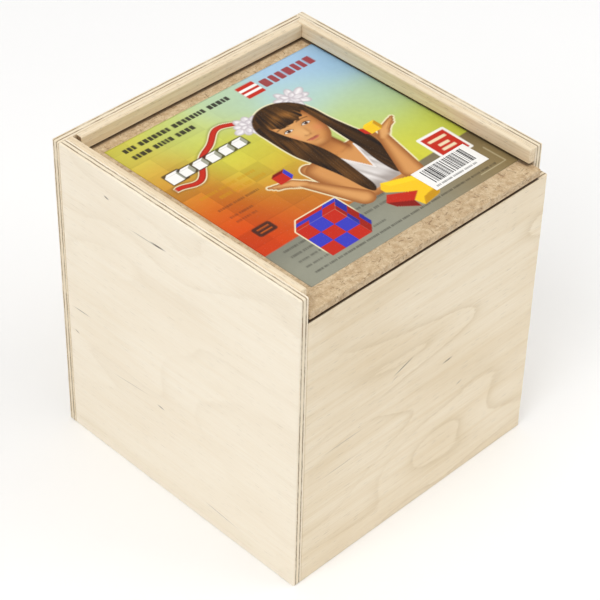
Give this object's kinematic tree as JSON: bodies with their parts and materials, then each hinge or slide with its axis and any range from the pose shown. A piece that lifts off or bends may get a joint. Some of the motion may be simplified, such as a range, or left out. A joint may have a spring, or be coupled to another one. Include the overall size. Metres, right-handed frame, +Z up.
{
  "type": "sliding-lid puzzle cube box",
  "caption": "Square plywood box with a sliding hardboard lid that carries a printed label, packed full with painted wooden building cubes.",
  "frame": {"origin": "on the table under the middle of the closed box", "axes": "+Z up, +X to the right and -Y out of the front, which is the way the lid slides out"},
  "size_m": [0.13, 0.13, 0.139],
  "materials": {
    "birch_plywood": "sanded birch veneer, uncoated, with open ply edges",
    "birch_strip": "sawn and sanded, uncoated",
    "hardboard": "pressed wood fibre, raw, slightly polished face",
    "printed_label": "satin printed paper",
    "sticker_paper": "matte white paper",
    "painted_wood": "red, blue and yellow semi-gloss paint with worn edges"
  },
  "bodies": {
    "case": {"left_wall": "birch_plywood", "back_wall": "birch_plywood", "right_wall": "birch_plywood", "front_wall": "birch_plywood", "bottom_panel": "birch_plywood", "left_upper_rail": "birch_strip", "right_upper_rail": "birch_strip", "back_upper_rail": "birch_strip", "left_lower_rail": "birch_strip", "right_lower_rail": "birch_strip", "cube_1_1_1": "painted_wood", "cube_1_1_2": "painted_wood", "cube_1_1_3": "painted_wood", "cube_1_2_1": "painted_wood", "cube_1_2_2": "painted_wood", "cube_1_2_3": "painted_wood", "cube_1_3_1": "painted_wood", "cube_1_3_2": "painted_wood", "cube_1_3_3": "painted_wood", "cube_2_1_1": "painted_wood", "cube_2_1_2": "painted_wood", "cube_2_1_3": "painted_wood", "cube_2_2_1": "painted_wood", "cube_2_2_2": "painted_wood", "cube_2_2_3": "painted_wood", "cube_2_3_1": "painted_wood", "cube_2_3_2": "painted_wood", "cube_2_3_3": "painted_wood", "cube_3_1_1": "painted_wood", "cube_3_1_2": "painted_wood", "cube_3_1_3": "painted_wood", "cube_3_2_1": "painted_wood", "cube_3_2_2": "painted_wood", "cube_3_2_3": "painted_wood", "cube_3_3_1": "painted_wood", "cube_3_3_2": "painted_wood", "cube_3_3_3": "painted_wood"},
    "lid": {"lid": "hardboard", "label": "printed_label", "barcode_sticker": "sticker_paper"}
  },
  "joints": [
    {"name": "lid_slide", "type": "slide", "parent": "case", "child": "lid", "axis": [0, -1, 0], "range_m": [0, 0.1255]}
  ]
}
